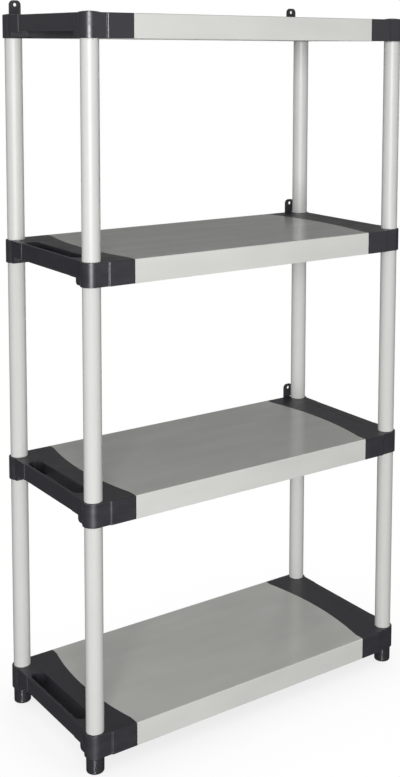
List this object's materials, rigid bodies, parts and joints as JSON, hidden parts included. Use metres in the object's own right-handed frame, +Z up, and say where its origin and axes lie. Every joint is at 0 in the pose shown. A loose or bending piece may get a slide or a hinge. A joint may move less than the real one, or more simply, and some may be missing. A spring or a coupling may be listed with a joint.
{
  "type": "plastic shelving unit",
  "caption": "Free-standing push-fit shelving unit: grey shelf panels held between charcoal end brackets on round posts, with feet and wall tabs.",
  "frame": {"origin": "on the floor, midway between the four feet", "axes": "+Z up, +X along the shelves to the right seen from the front, +Y to the back where the wall tabs are"},
  "size_m": [0.74, 0.347, 1.401],
  "materials": {
    "panel_grey": "satin moulded polypropylene, light grey",
    "bracket_charcoal": "finely grained moulded polypropylene, charcoal",
    "post_grey": "smooth extruded tube, very light grey",
    "foot_charcoal": "polished moulded polypropylene, charcoal",
    "peg_charcoal": "plain moulded polypropylene, hidden inside the posts"
  },
  "bodies": {
    "root": {"shelf_panel_bottom": "panel_grey", "end_bracket_left_bottom": "bracket_charcoal", "end_bracket_right_bottom": "bracket_charcoal", "shelf_panel_lower": "panel_grey", "end_bracket_left_lower": "bracket_charcoal", "wall_tab_left_lower": "bracket_charcoal", "end_bracket_right_lower": "bracket_charcoal", "wall_tab_right_lower": "bracket_charcoal", "shelf_panel_upper": "panel_grey", "end_bracket_left_upper": "bracket_charcoal", "wall_tab_left_upper": "bracket_charcoal", "end_bracket_right_upper": "bracket_charcoal", "wall_tab_right_upper": "bracket_charcoal", "shelf_panel_top": "panel_grey", "end_bracket_left_top": "bracket_charcoal", "wall_tab_left_top": "bracket_charcoal", "end_bracket_right_top": "bracket_charcoal", "wall_tab_right_top": "bracket_charcoal", "foot_front_left": "foot_charcoal", "top_cap_front_left": "bracket_charcoal", "post_front_left_lower": "post_grey", "post_front_left_middle": "post_grey", "post_front_left_upper": "post_grey", "joining_peg_front_left_lower": "peg_charcoal", "joining_peg_front_left_upper": "peg_charcoal", "foot_front_right": "foot_charcoal", "top_cap_front_right": "bracket_charcoal", "post_front_right_lower": "post_grey", "post_front_right_middle": "post_grey", "post_front_right_upper": "post_grey", "joining_peg_front_right_lower": "peg_charcoal", "joining_peg_front_right_upper": "peg_charcoal", "foot_rear_left": "foot_charcoal", "top_cap_rear_left": "bracket_charcoal", "post_rear_left_lower": "post_grey", "post_rear_left_middle": "post_grey", "post_rear_left_upper": "post_grey", "joining_peg_rear_left_lower": "peg_charcoal", "joining_peg_rear_left_upper": "peg_charcoal", "foot_rear_right": "foot_charcoal", "top_cap_rear_right": "bracket_charcoal", "post_rear_right_lower": "post_grey", "post_rear_right_middle": "post_grey", "post_rear_right_upper": "post_grey", "joining_peg_rear_right_lower": "peg_charcoal", "joining_peg_rear_right_upper": "peg_charcoal"}
  },
  "joints": []
}
